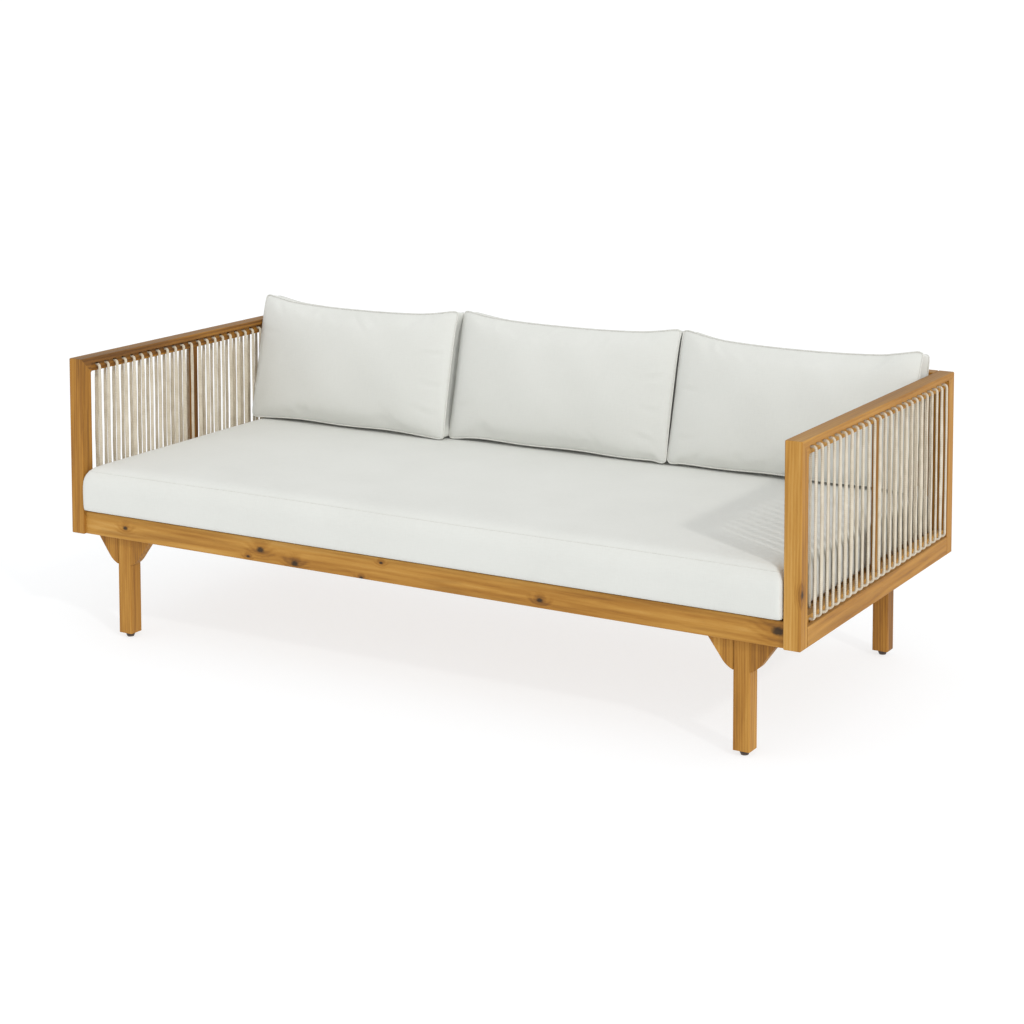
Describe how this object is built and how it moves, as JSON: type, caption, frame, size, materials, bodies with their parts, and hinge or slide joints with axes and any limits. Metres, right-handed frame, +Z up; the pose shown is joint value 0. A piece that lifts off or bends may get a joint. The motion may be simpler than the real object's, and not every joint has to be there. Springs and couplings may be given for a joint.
{
  "type": "daybed",
  "caption": "Wooden outdoor daybed with rope-wound arms and back, a slatted seat, square legs with shaped braces, a mattress cushion and loose back cushions.",
  "frame": {"origin": "on the floor under the middle of the frame", "axes": "+X to the right seen from the front, +Y to the back, +Z up"},
  "size_m": [2, 0.93, 0.7604],
  "materials": {
    "oiled_wood": "oiled acacia, satin",
    "inner_wood": "oiled acacia, matt",
    "rope": "braided cream cord",
    "cushion_fabric": "fine plain weave, matt",
    "glide_plastic": "dark brown, matt",
    "stainless_fastener": "brushed stainless",
    "insert_brass": "plain"
  },
  "bodies": {
    "frame": {"arm_bolt_inserts": "insert_brass", "arm_bolts": "stainless_fastener", "back_bolt_inserts": "insert_brass", "back_bolts": "stainless_fastener", "back_bottom_rail": "oiled_wood", "back_left_post": "oiled_wood", "back_right_post": "oiled_wood", "back_rope": "rope", "back_stile_1": "oiled_wood", "back_stile_2": "oiled_wood", "back_top_rail": "oiled_wood", "bracket_screws": "stainless_fastener", "centre_rail": "inner_wood", "corner_dowels": "inner_wood", "front_ledger": "inner_wood", "front_rail": "oiled_wood", "left_bottom_rail": "oiled_wood", "left_centre_stile": "oiled_wood", "left_front_glide": "glide_plastic", "left_front_inner_bracket": "oiled_wood", "left_front_leg": "oiled_wood", "left_front_outer_bracket": "oiled_wood", "left_front_post": "oiled_wood", "left_rear_glide": "glide_plastic", "left_rear_inner_bracket": "oiled_wood", "left_rear_leg": "oiled_wood", "left_rear_outer_bracket": "oiled_wood", "left_rear_post": "oiled_wood", "left_rope": "rope", "left_side_rail": "oiled_wood", "left_top_rail": "oiled_wood", "leg_bolt_inserts": "insert_brass", "leg_bolts": "stainless_fastener", "rear_ledger": "inner_wood", "rear_rail": "oiled_wood", "right_bottom_rail": "oiled_wood", "right_centre_stile": "oiled_wood", "right_front_glide": "glide_plastic", "right_front_inner_bracket": "oiled_wood", "right_front_leg": "oiled_wood", "right_front_outer_bracket": "oiled_wood", "right_front_post": "oiled_wood", "right_rear_glide": "glide_plastic", "right_rear_inner_bracket": "oiled_wood", "right_rear_leg": "oiled_wood", "right_rear_outer_bracket": "oiled_wood", "right_rear_post": "oiled_wood", "right_rope": "rope", "right_side_rail": "oiled_wood", "right_top_rail": "oiled_wood", "seat_slats": "inner_wood", "slat_screws": "stainless_fastener"},
    "seat_cushion_body": {"seat_cushion": "cushion_fabric"},
    "back_cushion_left_body": {"back_cushion_left": "cushion_fabric"},
    "back_cushion_centre_body": {"back_cushion_centre": "cushion_fabric"},
    "back_cushion_right_body": {"back_cushion_right": "cushion_fabric"}
  },
  "joints": [
    {"name": "seat_cushion_lift", "type": "slide", "parent": "frame", "child": "seat_cushion_body", "axis": [0, 0, 1], "range_m": [0, 0.42]},
    {"name": "back_cushion_left_lift", "type": "slide", "parent": "seat_cushion_body", "child": "back_cushion_left_body", "axis": [0, 0, 1], "range_m": [0, 0.36]},
    {"name": "back_cushion_centre_lift", "type": "slide", "parent": "seat_cushion_body", "child": "back_cushion_centre_body", "axis": [0, 0, 1], "range_m": [0, 0.36]},
    {"name": "back_cushion_right_lift", "type": "slide", "parent": "seat_cushion_body", "child": "back_cushion_right_body", "axis": [0, 0, 1], "range_m": [0, 0.36]}
  ]
}
